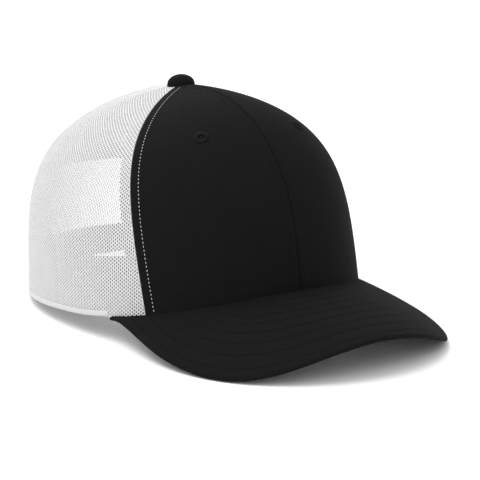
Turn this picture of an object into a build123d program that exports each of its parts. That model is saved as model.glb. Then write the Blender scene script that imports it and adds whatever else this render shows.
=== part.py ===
from build123d import *
from functools import cache
from math import asin, cos, pi, radians, sin, sqrt
import os

os.makedirs("parts", exist_ok=True)

# A six-panel trucker cap at rest: brim toward -Y, rear opening toward +Y, wearer's right on -X,
# standing on z = 0 on the visor's two side edges and the two rear ends of the hem.

# Crown: superellipse sections stacked along the crown axis, which leans back a little at rest.
CROWN_HEIGHT = 115.4
CROWN_FRONT = 103.6
CROWN_BACK = 106.1
CROWN_HALF_WIDTH = 83.8
FRONT_TAPER = 3.6
BACK_TAPER = -12.1
SIDE_TAPER = 9.6
FRONT_CURVE = (2.83, 2.28)
BACK_CURVE = (2.9, 1.93)
SIDE_CURVE = (5.2, 1.3)
SECTION_POWER = 2.15
SECTION_POINTS = 24
TURN_TOLERANCE = 1e-9
SECTION_HEIGHTS = (0, 0.15, 0.3, 0.44, 0.56, 0.67, 0.76, 0.84, 0.9, 0.945, 0.975, 0.992, 0.9985)
SKIRT = 8.0
REST_TILT = 5.02
HEM_LIFT = 8.6
HEM_RISE = 11.7
CENTRING = 31.1

# Layers, measured inward from the crown's outer face.
PANEL_INNER = 0.9
BUCKRAM_OUTER, BUCKRAM_INNER = 1.0, 1.7
TAPE_OUTER, TAPE_INNER = 1.8, 2.4
SWEATBAND_OUTER, SWEATBAND_INNER = 2.6, 4.1
BINDING_PROUD, BINDING_INNER = 0.5, 1.4

# Seams and their tapes.
SEAM_GAP = 0.05
FRONT_SEAM_NORMAL = (0.494, 0.854, -0.163)
REAR_SEAM_ANGLE = 30.0
TAPE_HALF_WIDTH = 8.0
TAPE_GAP = 0.15

# Sweatband and hem.
SWEATBAND_HEIGHT = 31.0
SWEATBAND_END = 43.5
SWEATBAND_DROP = 2.4
HEM_BINDING_HEIGHT = 3.0
HEM_FOLD = 0.5

# Rear opening.
OPENING_HALF_WIDTH = 36.0
OPENING_TOP = 65.9
OPENING_SHOULDER = 64.4
OPENING_CORNER = 11.0
OPENING_FOLD = 0.5
OPENING_BINDING = 8.0

# Visor.
VISOR_LENGTH = 68.3
VISOR_CORNER_X = 78.6
VISOR_CORNER_Y = -40.0
VISOR_FULLNESS = 6.8
VISOR_SKEW = -4.0
VISOR_ROOT_RADIUS = 152.4
VISOR_TIGHTENING = 0.4986
VISOR_DROOP = 10.1
VISOR_REACH = 70.0
VISOR_COVER = 0.5
VISOR_BOARD = 1.6
VISOR_EDGE = 0.9
VISOR_ROOT_INSET = 1.75
VISOR_SPAN = 87.0
VISOR_THICKNESS = 2 * VISOR_COVER + VISOR_BOARD

# Button and eyelets.
BUTTON_RADIUS = 7.75
BUTTON_DOME = 5.5
BUTTON_SKIN = 0.6
BUTTON_POST = 1.6
BUTTON_HOLE = 5.2
BUTTON_SEAT = 1.6
WASHER_RADIUS = 6.5
WASHER_THICKNESS = 0.8
WASHER_DEPTH = 3.3
EYELET_X = 31.8
EYELET_HEIGHT = 92.8
EYELET_RADIUS = 4.3
EYELET_HOLE = 1.25

# Snap straps.
STRAP_BOTTOM, STRAP_TOP = 8.3, 25.4
STRAP_PITCH = 7.6
STRAP_SNAPS = 7
STRAP_END = 19.8
STRAP_ROOT = 34.6
STRAP_TAB_GAP = 0.6
STRAP_TAB_END = 42.8
STRAP_THICKNESS = 1.0
HOLE_STRAP_INSET = 0.9
PEG_STRAP_INSET = 2.3
TAB_OUTER, TAB_INNER = 1.5, 2.4
STRAP_CORNER = 6.0
SNAP_HOLE = 2.2
PEG_BASE = 1.7
PEG_TIP = 1.1
PEG_HEIGHT = 2.0
SNAP_HEIGHT = (STRAP_BOTTOM + STRAP_TOP) / 2

LEAN_S, LEAN_C = sin(radians(REST_TILT)), cos(radians(REST_TILT))
HEM = Plane(origin=(0, CENTRING, HEM_LIFT), x_dir=(1, 0, 0), z_dir=(0, LEAN_S, LEAN_C))
UPRIGHT = Plane(origin=HEM.origin, x_dir=(1, 0, 0), z_dir=(0, -LEAN_C, LEAN_S))


def crown_point(x, y, z):
    """A point given along the crown's own axes."""
    return HEM.from_local_coords((x, y, z))


def crown_direction(x, y, z):
    """A direction given along the crown's own axes."""
    return crown_point(x, y, z) - HEM.origin


def crown_plane(normal, shift=0.0):
    """A plane through the crown's apex, moved along its own normal."""
    direction = crown_direction(*normal).normalized()
    return Plane(origin=crown_point(0, 0, CROWN_HEIGHT) + direction * shift, z_dir=direction)


def reach(base, taper, curve, height, inset):
    """Distance from the crown axis to the cloth at a height given as a part of the crown's."""
    level = max(height, 0.0)
    return (base - inset - taper * height) * (1 - level ** curve[0]) ** (1 / curve[1])


def section_y(x, front, height, inset):
    """Front or back edge of a section at a sideways distance x."""
    width = reach(CROWN_HALF_WIDTH, SIDE_TAPER, SIDE_CURVE, height, inset)
    base, taper, curve = (CROWN_FRONT, FRONT_TAPER, FRONT_CURVE) if front else (
        CROWN_BACK, BACK_TAPER, BACK_CURVE)
    part = (1 - (abs(x) / width) ** SECTION_POWER) ** (1 / SECTION_POWER)
    return reach(base, taper, curve, height, inset) * part * (-1 if front else 1)


def section_spot(turn, height, inset):
    """Point of a section at a turn from the front; the front half is measured from its arched hem."""
    tall = CROWN_HEIGHT - inset
    arch = HEM_RISE * max(cos(turn), 0.0) ** 2
    level = (height * tall - arch) / (tall - arch)
    across = abs(sin(turn)) ** (2 / SECTION_POWER) * (1 if sin(turn) > 0 else -1)
    along = abs(cos(turn)) ** (2 / SECTION_POWER)
    width = reach(CROWN_HALF_WIDTH, SIDE_TAPER, SIDE_CURVE, level, inset)
    if cos(turn) > 0:
        return -width * across, -reach(CROWN_FRONT, FRONT_TAPER, FRONT_CURVE, level, inset) * along
    return -width * across, reach(CROWN_BACK, BACK_TAPER, BACK_CURVE, level, inset) * along


def section_points(height, inset):
    """Points round one superellipse section, starting at the front."""
    return [section_spot(2 * pi * i / SECTION_POINTS, height, inset) for i in range(SECTION_POINTS)]


def front_y(x, z):
    """Front face of the crown at a sideways distance and a height."""
    low, high = 0.0, pi / 2
    while high - low > TURN_TOLERANCE:
        turn = (low + high) / 2
        low, high = (turn, high) if -section_spot(turn, z / CROWN_HEIGHT, 0)[0] < abs(x) else (low, turn)
    return section_spot(low, z / CROWN_HEIGHT, 0)[1]


@cache
def crown_body(inset):
    """Solid bounded by the crown's surface at a depth below its outer face."""
    tall = CROWN_HEIGHT - inset
    with BuildPart() as body:
        for height in (-SKIRT / tall, -SKIRT / tall / 2) + SECTION_HEIGHTS:
            with BuildSketch(HEM.offset(height * tall)):
                with BuildLine():
                    Spline(*section_points(height, inset), periodic=True)
                make_face()
        loft()
    return body.part


@cache
def crown_shell(outer, inner):
    """Layer of the crown between two depths."""
    with BuildPart() as shell:
        add(crown_body(outer))
        add(crown_body(inner), mode=Mode.SUBTRACT)
    return shell.part


@cache
def under_hem(half_width, lift=0.0, rise=HEM_RISE):
    """Everything below the hem line, which arches up across the front."""
    with BuildPart() as below:
        with BuildSketch(HEM.offset(lift)):
            Rectangle(260, 260)
        extrude(amount=-40)
        with BuildSketch(UPRIGHT):
            with BuildLine():
                ThreePointArc((-half_width, lift), (0, lift + rise), (half_width, lift))
                Line((half_width, lift), (-half_width, lift))
            make_face()
        extrude(amount=130)
    return below.part


@cache
def opening_prism(grow):
    """The rear opening's outline run straight back through the crown, grown by an amount."""
    half = OPENING_HALF_WIDTH + grow
    with BuildPart() as prism:
        with BuildSketch(UPRIGHT) as outline:
            with BuildLine():
                Line((-half, -30), (-half, OPENING_SHOULDER + grow))
                ThreePointArc((-half, OPENING_SHOULDER + grow), (0, OPENING_TOP + grow),
                              (half, OPENING_SHOULDER + grow))
                Line((half, OPENING_SHOULDER + grow), (half, -30))
                Line((half, -30), (-half, -30))
            make_face()
            fillet(outline.vertices().group_by(Axis.Z)[-1], OPENING_CORNER + grow)
        extrude(amount=-140)
    return prism.part


def seam_band(normal, half_width):
    """Slab of the crown on both sides of a seam plane."""
    with BuildPart() as band:
        with BuildSketch(crown_plane(normal, -half_width)):
            Rectangle(500, 500)
        extrude(amount=2 * half_width)
    return band.part


def root_height(x):
    """Height of the crown's front hem at a sideways distance."""
    width = CROWN_HALF_WIDTH
    y = section_y(x, True, 0, 0)
    z = HEM_RISE * (1 - (abs(x) / (width - 1)) ** 2)
    return crown_point(x, y, z)


ROOT_FRONT = root_height(0)
VISOR_AXIS_Y = VISOR_CORNER_Y + CENTRING


def pressed_radius(y):
    """Sideways radius of the visor's pressed curve, tightening toward the front edge."""
    return VISOR_ROOT_RADIUS * (1 - VISOR_TIGHTENING * (ROOT_FRONT.Y - y) / VISOR_REACH)


def pressed_height(x, y):
    """Height of the visor's pressed curve before it is sewn to the hem."""
    radius = pressed_radius(y)
    droop = VISOR_DROOP * max((ROOT_FRONT.Y - y) / VISOR_REACH, 0) ** 2
    return ROOT_FRONT.Z - droop - (radius - sqrt(radius * radius - x * x))


def outline_radius(turn, inset=0.0):
    """Distance of the visor's outer edge from the middle of the line joining its corners."""
    depth = VISOR_AXIS_Y - ROOT_FRONT.Y + VISOR_LENGTH
    bow = sin(2 * turn) ** 2 * (VISOR_FULLNESS + VISOR_SKEW * cos(2 * turn))
    return VISOR_CORNER_X * cos(turn) ** 2 + depth * sin(turn) ** 2 + bow - inset


def visor_height(x, y):
    """Height of the visor's top, eased from the arched hem into the pressed curve."""
    back = VISOR_AXIS_Y - y
    turn = asin(min(1.0, max(0.0, back / max(sqrt(x * x + back * back), 1e-6))))
    x_root, x_far = 0.0, VISOR_CORNER_X
    for _ in range(30):
        middle = (x_root + x_far) / 2
        root = root_height(middle)
        if (VISOR_AXIS_Y - root.Y) * cos(turn) > middle * sin(turn):
            x_root = middle
        else:
            x_far = middle
    root = root_height(x_root)
    root_distance = sqrt(root.X ** 2 + (VISOR_AXIS_Y - root.Y) ** 2)
    edge_distance = outline_radius(turn)
    span = max(edge_distance - root_distance, 6.0)
    out = min(1.0, max(0.0, (sqrt(x * x + back * back) - root_distance) / span))
    return pressed_height(x, y) + (root.Z - pressed_height(root.X, root.Y)) * (1 - out) ** 2


@cache
def visor_slab(top, bottom):
    """Curved slab between two depths below the visor's top face."""
    stations = [VISOR_AXIS_Y + 3 - 11.2 * i for i in range(13)]
    with BuildPart() as slab:
        for y in stations:
            span = min(VISOR_SPAN, 0.92 * pressed_radius(y))
            across = [span * (i / 10 - 1) for i in range(21)]
            upper = [(x, visor_height(x, y) - top) for x in across]
            lower = [(x, visor_height(x, y) - bottom) for x in across]
            with BuildSketch(Plane.XZ.offset(-y)):
                with BuildLine():
                    Spline(*upper)
                    Line(upper[-1], lower[-1])
                    Spline(*lower)
                    Line(upper[0], lower[0])
                make_face()
        loft()
    return slab.part


def visor_outline(inset):
    """Upright prism on the visor's plan outline."""
    turns = [pi * i / 32 for i in range(33)]
    edge = [(-outline_radius(t, inset) * cos(t), VISOR_AXIS_Y - outline_radius(t, inset) * sin(t))
            for t in turns]
    with BuildPart() as prism:
        with BuildSketch():
            with BuildLine():
                Spline(*edge)
                Line(edge[-1], edge[0])
            make_face()
        extrude(amount=80)
    return prism.part


def strap_ring(inset, start, end, bottom, top):
    """Part of an upright ring under the rear hem, between two sideways distances."""
    outer = [(start + (end - start) * i / 12) for i in range(13)]
    face = [(x, section_y(x, False, 0, inset)) for x in outer]
    inner = [(x, section_y(x, False, 0, inset + STRAP_THICKNESS)) for x in outer]
    with BuildPart() as ring:
        with BuildSketch(HEM.offset(bottom)):
            with BuildLine():
                Spline(*face)
                Line(face[-1], inner[-1])
                Spline(*inner)
                Line(face[0], inner[0])
            make_face()
        extrude(amount=top - bottom)
    return ring.part


def snap_plane(x, inset):
    """Plane on the strap's outer face at a snap, its normal pointing out of the cap."""
    step = 0.5
    rise = section_y(x + step, False, 0, inset) - section_y(x - step, False, 0, inset)
    outward = crown_direction(-rise, 2 * step, 0).normalized()
    place = crown_point(x, section_y(x, False, 0, inset), SNAP_HEIGHT)
    return Plane(origin=place, x_dir=crown_direction(0, 0, 1), z_dir=outward)


OUTER = crown_body(0)
PANEL_SHELL = crown_shell(0, PANEL_INNER)
HEM_CUT = under_hem(CROWN_HALF_WIDTH - PANEL_INNER)
BACK_CUT = opening_prism(OPENING_FOLD)
VISOR_BODY = visor_slab(0, VISOR_THICKNESS)
VISOR_PRISM = visor_outline(0)
BOARD_PRISM = visor_outline(VISOR_EDGE)
VISOR_ROOT = crown_body(VISOR_ROOT_INSET)
BUTTON_AXIS = Plane(origin=crown_point(0, 0, CROWN_HEIGHT), x_dir=(1, 0, 0),
                    z_dir=crown_direction(0, 0, 1))

with BuildPart() as visor_envelope:
    add(VISOR_BODY)
    add(VISOR_PRISM, mode=Mode.INTERSECT)

with BuildPart() as binding_zone:
    add(under_hem(CROWN_HALF_WIDTH - PANEL_INNER, HEM_FOLD))

# Eyelet seats: discs set square to the front panels.


def eyelet_plane(side):
    """Plane at the middle of an eyelet, square to the panel."""
    x, step = side * EYELET_X, 0.01
    y = front_y(x, EYELET_HEIGHT)
    dy_dx = (front_y(x + step, EYELET_HEIGHT) - y) / step
    dy_dh = (front_y(x, EYELET_HEIGHT + step) - y) / step
    outward = crown_direction(dy_dx, -1, dy_dh).normalized()
    return Plane(origin=crown_point(x, y, EYELET_HEIGHT), z_dir=outward)


def eyelet_plug(side, radius):
    """Cylinder through the front panel at an eyelet."""
    with BuildPart() as plug:
        with BuildSketch(eyelet_plane(side).offset(-6)):
            Circle(radius)
        extrude(amount=12)
    return plug.part


def post_hole(radius):
    """Cylinder through the top of the crown at the button."""
    with BuildPart() as hole:
        with BuildSketch(BUTTON_AXIS.offset(-12)):
            Circle(radius)
        extrude(amount=24)
    return hole.part


CROWN_HOLE = post_hole(BUTTON_HOLE)


def front_normal(side):
    """Normal of the seam plane between a front panel and a side panel, pointing back."""
    return (side * FRONT_SEAM_NORMAL[0],) + FRONT_SEAM_NORMAL[1:]


def front_panel(side, shell, trim):
    """One front panel or its backing: centre seam to front seam, hem on the visor."""
    normal = front_normal(side)
    with BuildPart() as panel:
        add(shell)
        split(bisect_by=crown_plane((side, 0, 0), trim), keep=Keep.TOP)
        split(bisect_by=crown_plane(normal, -trim), keep=Keep.BOTTOM)
        add(HEM_CUT, mode=Mode.SUBTRACT)
        add(visor_envelope.part, mode=Mode.SUBTRACT)
        add(CROWN_HOLE, mode=Mode.SUBTRACT)
        add(eyelet_plug(side, EYELET_RADIUS + 0.05), mode=Mode.SUBTRACT)
    return panel.part


# Front panels: twill cut in two gores sewn along the middle.
with BuildPart() as front_panel_right:
    add(front_panel(-1, PANEL_SHELL, SEAM_GAP))
with BuildPart() as front_panel_left:
    mirror(front_panel_right.part, about=Plane.YZ)

# Front backing: stiff buckram fused inside each front panel.
BUCKRAM_SHELL = crown_shell(BUCKRAM_OUTER, BUCKRAM_INNER)
with BuildPart() as front_buckram_right:
    add(front_panel(-1, BUCKRAM_SHELL, SEAM_GAP))
with BuildPart() as front_buckram_left:
    mirror(front_buckram_right.part, about=Plane.YZ)


def rear_normal(side):
    """Normal of the seam plane between a side panel and a rear panel, pointing back."""
    return (side * -sin(radians(REAR_SEAM_ANGLE)), cos(radians(REAR_SEAM_ANGLE)), 0)


def side_panel(side):
    """One side mesh panel, standing partly on the visor and partly on the hem binding."""
    with BuildPart() as panel:
        add(PANEL_SHELL)
        split(bisect_by=crown_plane(front_normal(side), SEAM_GAP), keep=Keep.TOP)
        split(bisect_by=crown_plane(rear_normal(side), -SEAM_GAP), keep=Keep.BOTTOM)
        split(bisect_by=crown_plane((side, 0, 0), 0), keep=Keep.TOP)
        add(binding_zone.part, mode=Mode.SUBTRACT)
        add(visor_envelope.part, mode=Mode.SUBTRACT)
        add(CROWN_HOLE, mode=Mode.SUBTRACT)
    return panel.part


def rear_panel(side):
    """One rear mesh panel, cut away over the rear opening."""
    with BuildPart() as panel:
        add(PANEL_SHELL)
        split(bisect_by=crown_plane(rear_normal(side), SEAM_GAP), keep=Keep.TOP)
        split(bisect_by=crown_plane((side, 0, 0), SEAM_GAP), keep=Keep.TOP)
        add(binding_zone.part, mode=Mode.SUBTRACT)
        add(BACK_CUT, mode=Mode.SUBTRACT)
        add(CROWN_HOLE, mode=Mode.SUBTRACT)
    return panel.part


# Side and rear panels: open knitted mesh, made here as plain closed layers.
with BuildPart() as side_mesh_right:
    add(side_panel(-1))
with BuildPart() as side_mesh_left:
    mirror(side_mesh_right.part, about=Plane.YZ)
with BuildPart() as rear_mesh_right:
    add(rear_panel(-1))
with BuildPart() as rear_mesh_left:
    mirror(rear_mesh_right.part, about=Plane.YZ)

# Seam tapes: the middle one runs from the front hem over the top to the rear opening, and the
# other four butt against it and against each other.
TAPE_SHELL = crown_shell(TAPE_OUTER, TAPE_INNER)
SWEAT_TOP = under_hem(CROWN_HALF_WIDTH - SWEATBAND_INNER, SWEATBAND_HEIGHT)
TAPE_FOOT = under_hem(CROWN_HALF_WIDTH - TAPE_INNER, 1.5, HEM_RISE)

with BuildPart() as centre_seam_tape:
    add(TAPE_SHELL)
    add(seam_band((1, 0, 0), TAPE_HALF_WIDTH), mode=Mode.INTERSECT)
    add(TAPE_FOOT, mode=Mode.SUBTRACT)
    add(opening_prism(OPENING_BINDING / 2), mode=Mode.SUBTRACT)
    add(post_hole(BUTTON_POST + 0.3), mode=Mode.SUBTRACT)


def seam_tape(side, normal, rearward):
    """One of the four tapes that run down from the centre tape to the hem."""
    with BuildPart() as tape:
        add(TAPE_SHELL)
        add(seam_band(normal, TAPE_HALF_WIDTH), mode=Mode.INTERSECT)
        split(bisect_by=crown_plane((side, 0, 0), TAPE_HALF_WIDTH + TAPE_GAP), keep=Keep.TOP)
        split(bisect_by=crown_plane((0, rearward, 0), TAPE_GAP), keep=Keep.TOP)
        add(TAPE_FOOT, mode=Mode.SUBTRACT)
    return tape.part


with BuildPart() as front_seam_tape_right:
    add(seam_tape(-1, front_normal(-1), -1))
with BuildPart() as front_seam_tape_left:
    mirror(front_seam_tape_right.part, about=Plane.YZ)
with BuildPart() as rear_seam_tape_right:
    add(seam_tape(-1, rear_normal(-1), 1))
with BuildPart() as rear_seam_tape_left:
    mirror(rear_seam_tape_right.part, about=Plane.YZ)

# Sweatband: folded cotton band inside the hem, open across the rear opening.
with BuildPart() as sweatband:
    add(crown_shell(SWEATBAND_OUTER, SWEATBAND_INNER))
    add(SWEAT_TOP, mode=Mode.INTERSECT)
    add(under_hem(CROWN_HALF_WIDTH - SWEATBAND_INNER, 0.2, HEM_RISE - SWEATBAND_DROP),
        mode=Mode.SUBTRACT)
    add(opening_prism(SWEATBAND_END - OPENING_HALF_WIDTH), mode=Mode.SUBTRACT)

# Rear opening's binding: tape folded over the cut edge of both rear panels.
BINDING_SHELL = crown_shell(-BINDING_PROUD, BINDING_INNER)
with BuildPart() as opening_binding:
    add(BINDING_SHELL)
    add(opening_prism(OPENING_BINDING), mode=Mode.INTERSECT)
    add(opening_prism(0), mode=Mode.SUBTRACT)
    add(crown_shell(-0.05, PANEL_INNER + 0.05).cut(BACK_CUT, binding_zone.part), mode=Mode.SUBTRACT)
    add(under_hem(CROWN_HALF_WIDTH), mode=Mode.SUBTRACT)


def hem_binding(side):
    """Band folded over the mesh's bottom edge, from the visor's corner to the opening."""
    corner = crown_plane((0, 1, 0), VISOR_CORNER_Y + 0.3)
    with BuildPart() as band:
        add(BINDING_SHELL)
        split(bisect_by=Plane(origin=crown_point(0, 0, 0), z_dir=crown_direction(side, 0, 0)),
              keep=Keep.TOP)
        split(bisect_by=corner, keep=Keep.TOP)
        add(under_hem(CROWN_HALF_WIDTH - BINDING_INNER, HEM_BINDING_HEIGHT), mode=Mode.INTERSECT)
        add(under_hem(CROWN_HALF_WIDTH - BINDING_INNER), mode=Mode.SUBTRACT)
        add(crown_shell(-0.05, PANEL_INNER + 0.05).cut(binding_zone.part), mode=Mode.SUBTRACT)
        add(opening_prism(OPENING_BINDING + 0.1), mode=Mode.SUBTRACT)
        add(visor_envelope.part, mode=Mode.SUBTRACT)
    return band.part


with BuildPart() as hem_binding_right:
    add(hem_binding(-1))
with BuildPart() as hem_binding_left:
    mirror(hem_binding_right.part, about=Plane.YZ)

# Visor: a stiff board between two cloth covers that meet round its edge.
with BuildPart() as visor_board:
    add(visor_slab(VISOR_COVER + 0.02, VISOR_THICKNESS - VISOR_COVER - 0.02))
    add(visor_outline(VISOR_EDGE + 0.05), mode=Mode.INTERSECT)
    add(VISOR_ROOT, mode=Mode.SUBTRACT)


def visor_cover(top, bottom, rim_top, rim_bottom):
    """Cloth cover of one face with its half of the turned rim."""
    with BuildPart() as cover:
        add(visor_slab(rim_top, rim_bottom))
        add(VISOR_PRISM, mode=Mode.INTERSECT)
        add(BOARD_PRISM, mode=Mode.SUBTRACT)
        with BuildPart(mode=Mode.PRIVATE) as face:
            add(visor_slab(top, bottom))
            add(VISOR_PRISM, mode=Mode.INTERSECT)
        add(face.part)
        add(VISOR_ROOT, mode=Mode.SUBTRACT)
    return cover.part


with BuildPart() as visor_top_cover:
    add(visor_cover(0, VISOR_COVER, 0, VISOR_THICKNESS / 2 - 0.02))
with BuildPart() as visor_under_cover:
    add(visor_cover(VISOR_THICKNESS - VISOR_COVER, VISOR_THICKNESS,
                    VISOR_THICKNESS / 2 + 0.02, VISOR_THICKNESS))

# Button: a stamped core and post under a cloth cap, held by a washer inside the crown.
with BuildPart() as button_core:
    with BuildSketch(BUTTON_AXIS.offset(-WASHER_DEPTH - WASHER_THICKNESS)):
        Circle(BUTTON_POST)
    extrude(amount=WASHER_DEPTH + WASHER_THICKNESS + 1)
    with BuildSketch(BUTTON_AXIS.offset(-BUTTON_SEAT)):
        Circle(BUTTON_RADIUS - BUTTON_SKIN - 0.1)
    extrude(amount=BUTTON_SEAT + 1.0)
    with BuildSketch(BUTTON_AXIS.offset(0.95)):
        Circle(BUTTON_RADIUS - BUTTON_SKIN - 0.1)
    with BuildSketch(BUTTON_AXIS.offset(BUTTON_DOME - BUTTON_SKIN - 0.1)):
        Circle(BUTTON_RADIUS * 0.45)
    loft()
    with BuildPart(mode=Mode.PRIVATE) as crown_top:
        add(crown_body(-0.2))
        add(post_hole(BUTTON_POST), mode=Mode.SUBTRACT)
    add(crown_top.part, mode=Mode.SUBTRACT)

with BuildPart() as button_cover:
    with BuildSketch(Plane(origin=BUTTON_AXIS.origin, x_dir=BUTTON_AXIS.x_dir,
                           z_dir=UPRIGHT.z_dir)):
        with BuildLine():
            Line((0, -BUTTON_SEAT), (BUTTON_RADIUS, -BUTTON_SEAT))
            Line((BUTTON_RADIUS, -BUTTON_SEAT), (BUTTON_RADIUS, 0.9))
            Spline((BUTTON_RADIUS, 0.9), (BUTTON_RADIUS * 0.72, BUTTON_DOME * 0.74),
                   (0, BUTTON_DOME), tangents=[(0, 1), (-1, 0)])
            Line((0, BUTTON_DOME), (0, -BUTTON_SEAT))
        make_face()
    revolve(axis=Axis(BUTTON_AXIS.origin, BUTTON_AXIS.z_dir))
    add(crown_body(-0.12), mode=Mode.SUBTRACT)
    with BuildSketch(BUTTON_AXIS.offset(-BUTTON_SEAT)):
        Circle(BUTTON_RADIUS - BUTTON_SKIN)
    extrude(amount=BUTTON_SEAT + 1.05, mode=Mode.SUBTRACT)
    with BuildSketch(BUTTON_AXIS.offset(1.0)):
        Circle(BUTTON_RADIUS - BUTTON_SKIN)
    with BuildSketch(BUTTON_AXIS.offset(BUTTON_DOME - BUTTON_SKIN)):
        Circle(BUTTON_RADIUS * 0.45 + 0.1)
    loft(mode=Mode.SUBTRACT)

with BuildPart() as button_washer:
    with BuildSketch(BUTTON_AXIS.offset(-WASHER_DEPTH - WASHER_THICKNESS)):
        Circle(WASHER_RADIUS)
        Circle(BUTTON_POST + 0.05, mode=Mode.SUBTRACT)
    extrude(amount=WASHER_THICKNESS)


def eyelet(side):
    """Overcast thread ring filling an eyelet hole, a little proud of the cloth on both faces."""
    with BuildPart() as ring:
        add(crown_shell(-0.35, BUCKRAM_INNER + 0.2))
        add(eyelet_plug(side, EYELET_RADIUS), mode=Mode.INTERSECT)
        add(eyelet_plug(side, EYELET_HOLE), mode=Mode.SUBTRACT)
    return ring.part


with BuildPart() as eyelet_right:
    add(eyelet(-1))
with BuildPart() as eyelet_left:
    mirror(eyelet_right.part, about=Plane.YZ)


def snap_strap(side, inset):
    """One plastic snap strap with a rounded free end, before its holes or pegs."""
    with BuildPart() as strap:
        with BuildSketch(UPRIGHT) as outline:
            with BuildLine():
                Polyline((side * STRAP_ROOT, STRAP_BOTTOM), (-side * STRAP_END, STRAP_BOTTOM),
                         (-side * STRAP_END, STRAP_TOP), (side * STRAP_ROOT, STRAP_TOP),
                         close=True)
            make_face()
            free_end = outline.vertices().sort_by(Axis.X)
            fillet(free_end[:2] if side > 0 else free_end[-2:], STRAP_CORNER)
        extrude(amount=-140)
        add(strap_ring(inset, side * STRAP_ROOT, -side * STRAP_END, STRAP_BOTTOM - 1,
                       STRAP_TOP + 1), mode=Mode.INTERSECT)
    return strap.part


def snap_places(side):
    """Sideways places of one strap's snaps, from its free end toward its root."""
    return [side * STRAP_PITCH * (i - 2) for i in range(STRAP_SNAPS)]


# Hole strap: sewn on the wearer's left, lies outside.
with BuildPart() as hole_strap:
    add(snap_strap(1, HOLE_STRAP_INSET))
    for place in snap_places(1):
        with BuildSketch(snap_plane(place, HOLE_STRAP_INSET).offset(-3)):
            Circle(SNAP_HOLE)
        extrude(amount=6, mode=Mode.SUBTRACT)

# Peg strap: sewn on the wearer's right, lies inside with its pegs through the other's holes.
with BuildPart() as peg_strap:
    add(snap_strap(-1, PEG_STRAP_INSET))
    for place in snap_places(-1):
        seat = snap_plane(place, PEG_STRAP_INSET)
        with BuildSketch(seat.offset(-0.3)):
            Circle(PEG_BASE)
        with BuildSketch(seat.offset(PEG_HEIGHT)):
            Circle(PEG_TIP)
        loft()


def strap_tab(side):
    """Sewn end of a strap between the binding and the sweatband."""
    with BuildPart() as tab:
        add(strap_ring(TAB_OUTER, side * (STRAP_ROOT + STRAP_TAB_GAP), side * STRAP_TAB_END,
                       STRAP_BOTTOM, STRAP_TOP))
    return tab.part


with BuildPart() as hole_strap_tab:
    add(strap_tab(1))
with BuildPart() as peg_strap_tab:
    add(strap_tab(-1))

NODES = {
    "front_panel_right": front_panel_right,
    "front_panel_left": front_panel_left,
    "front_buckram_right": front_buckram_right,
    "front_buckram_left": front_buckram_left,
    "side_mesh_right": side_mesh_right,
    "side_mesh_left": side_mesh_left,
    "rear_mesh_right": rear_mesh_right,
    "rear_mesh_left": rear_mesh_left,
    "centre_seam_tape": centre_seam_tape,
    "front_seam_tape_right": front_seam_tape_right,
    "front_seam_tape_left": front_seam_tape_left,
    "rear_seam_tape_right": rear_seam_tape_right,
    "rear_seam_tape_left": rear_seam_tape_left,
    "sweatband": sweatband,
    "opening_binding": opening_binding,
    "hem_binding_right": hem_binding_right,
    "hem_binding_left": hem_binding_left,
    "visor_board": visor_board,
    "visor_top_cover": visor_top_cover,
    "visor_under_cover": visor_under_cover,
    "button_core": button_core,
    "button_cover": button_cover,
    "button_washer": button_washer,
    "eyelet_right": eyelet_right,
    "eyelet_left": eyelet_left,
    "hole_strap": hole_strap,
    "peg_strap": peg_strap,
    "hole_strap_tab": hole_strap_tab,
    "peg_strap_tab": peg_strap_tab,
}

for name, node in NODES.items():
    node.part.label = name
    export_step(node.part, f"parts/{name}.step")
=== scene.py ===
import math
import bmesh
import bpy
import numpy as np
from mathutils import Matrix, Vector


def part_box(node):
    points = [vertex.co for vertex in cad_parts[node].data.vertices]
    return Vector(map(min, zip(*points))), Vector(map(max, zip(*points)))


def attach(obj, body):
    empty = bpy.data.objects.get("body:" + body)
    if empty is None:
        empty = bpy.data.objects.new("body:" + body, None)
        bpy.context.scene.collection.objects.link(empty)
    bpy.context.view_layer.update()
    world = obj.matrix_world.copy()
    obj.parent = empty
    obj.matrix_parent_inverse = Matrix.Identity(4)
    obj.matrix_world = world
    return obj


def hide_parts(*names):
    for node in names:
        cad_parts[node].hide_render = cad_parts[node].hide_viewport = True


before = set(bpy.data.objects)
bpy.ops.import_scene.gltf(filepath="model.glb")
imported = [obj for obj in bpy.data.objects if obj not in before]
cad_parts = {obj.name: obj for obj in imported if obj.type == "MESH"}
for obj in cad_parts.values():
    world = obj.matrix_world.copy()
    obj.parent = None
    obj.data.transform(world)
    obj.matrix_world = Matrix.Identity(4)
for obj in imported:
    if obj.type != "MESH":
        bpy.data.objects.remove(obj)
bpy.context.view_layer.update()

# Front panels: two gores of black cotton twill, sewn edge to edge up the middle of the front.
# Each gore's seam allowance is pressed open and stitched down, which leaves a low raised band
# beside the seam; the outer edges are turned in where the mesh joins them.
CROWN_TALL = 115.4
SQUARENESS = 2.15
CENTRE_Y, HEM_LIFT = 31.1, 8.6
LEAN = math.radians(5.02)
HEM_RISE, HEM_HALF = 11.7, 82.9
FRONT_SEAM = np.array((-0.494, 0.854, -0.163))
REAR_SEAM = np.array((0.5, 0.866, 0.0))
PANEL_THICK = 0.0009


def girth(level, inset):
    """Reach of the crown to the front, back and side at a part of its height, at a depth."""
    front = (103.6 - inset - 3.6 * level) * (1 - level ** 2.83) ** (1 / 2.28)
    back = (106.1 - inset + 12.1 * level) * (1 - level ** 2.9) ** (1 / 1.93)
    width = (83.8 - inset - 9.6 * level) * (1 - level ** 5.2) ** (1 / 1.3)
    return front, back, width


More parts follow.
